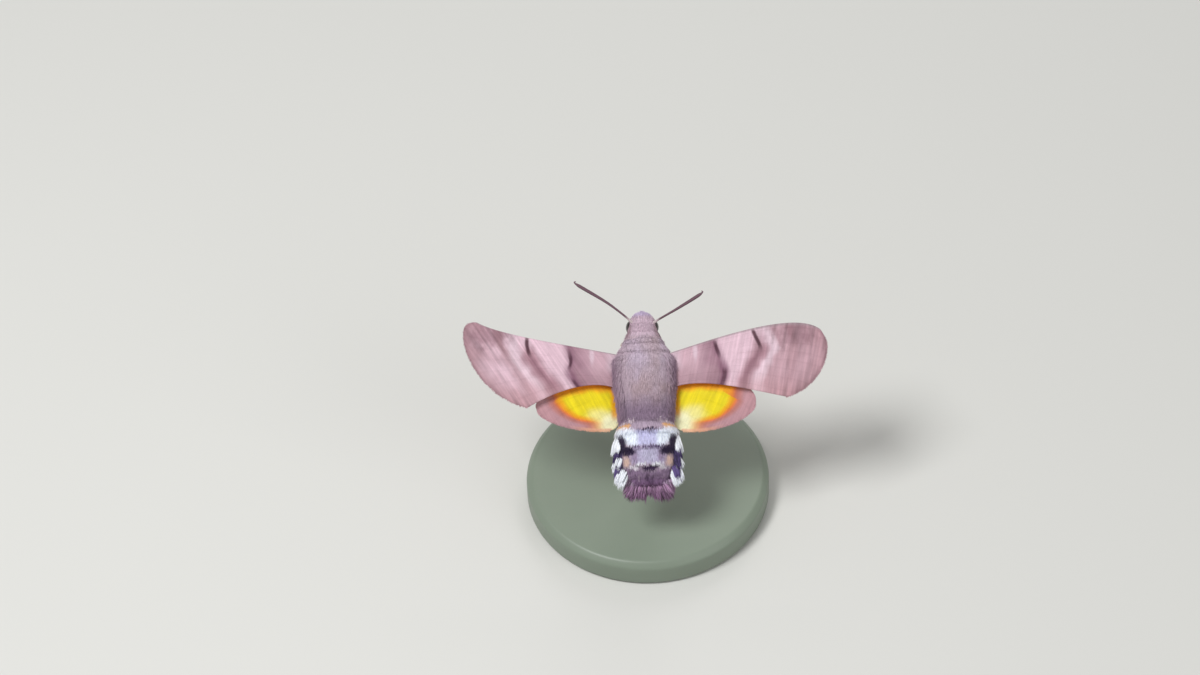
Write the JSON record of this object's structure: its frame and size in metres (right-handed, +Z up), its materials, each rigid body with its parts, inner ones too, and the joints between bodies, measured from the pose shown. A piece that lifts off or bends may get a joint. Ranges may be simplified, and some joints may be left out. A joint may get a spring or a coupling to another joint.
{
  "type": "hummingbird hawk moth",
  "caption": "life-size hummingbird hawk moth hovering on a plain round display stand, wings spread, tail fan open, proboscis reaching down",
  "frame": {"origin": "centre of the stand's flat underside", "axes": "+Z up, +Y the way the moth's head points, +X to the moth's right across the wings"},
  "size_m": [0.0495, 0.0385, 0.0357],
  "materials": {
    "body_coat": "soft grey-mauve fur and scales",
    "tail_scales": "dark brown-purple scales",
    "forewing": "matt powdery wing scales",
    "hindwing": "matt powdery wing scales",
    "feeler": "matt dark scales",
    "eye": "smooth glossy compound eye",
    "palp": "pale soft scales",
    "tongue": "smooth horn",
    "leg": "pale scales",
    "stand_base": "satin grey-green",
    "stand_rod": "brushed"
  },
  "bodies": {
    "root": {"thorax": "body_coat", "head": "body_coat", "abdomen": "body_coat", "tail_fan": "tail_scales", "forewing_left": "forewing", "forewing_right": "forewing", "hindwing_left": "hindwing", "hindwing_right": "hindwing", "antenna_left": "feeler", "antenna_right": "feeler", "eye_left": "eye", "eye_right": "eye", "palp_left": "palp", "palp_right": "palp", "proboscis": "tongue", "leg_fore_left": "leg", "leg_fore_right": "leg", "leg_mid_left": "leg", "leg_mid_right": "leg", "leg_hind_left": "leg", "leg_hind_right": "leg", "stand_base": "stand_base", "stand_rod": "stand_rod"}
  },
  "joints": []
}
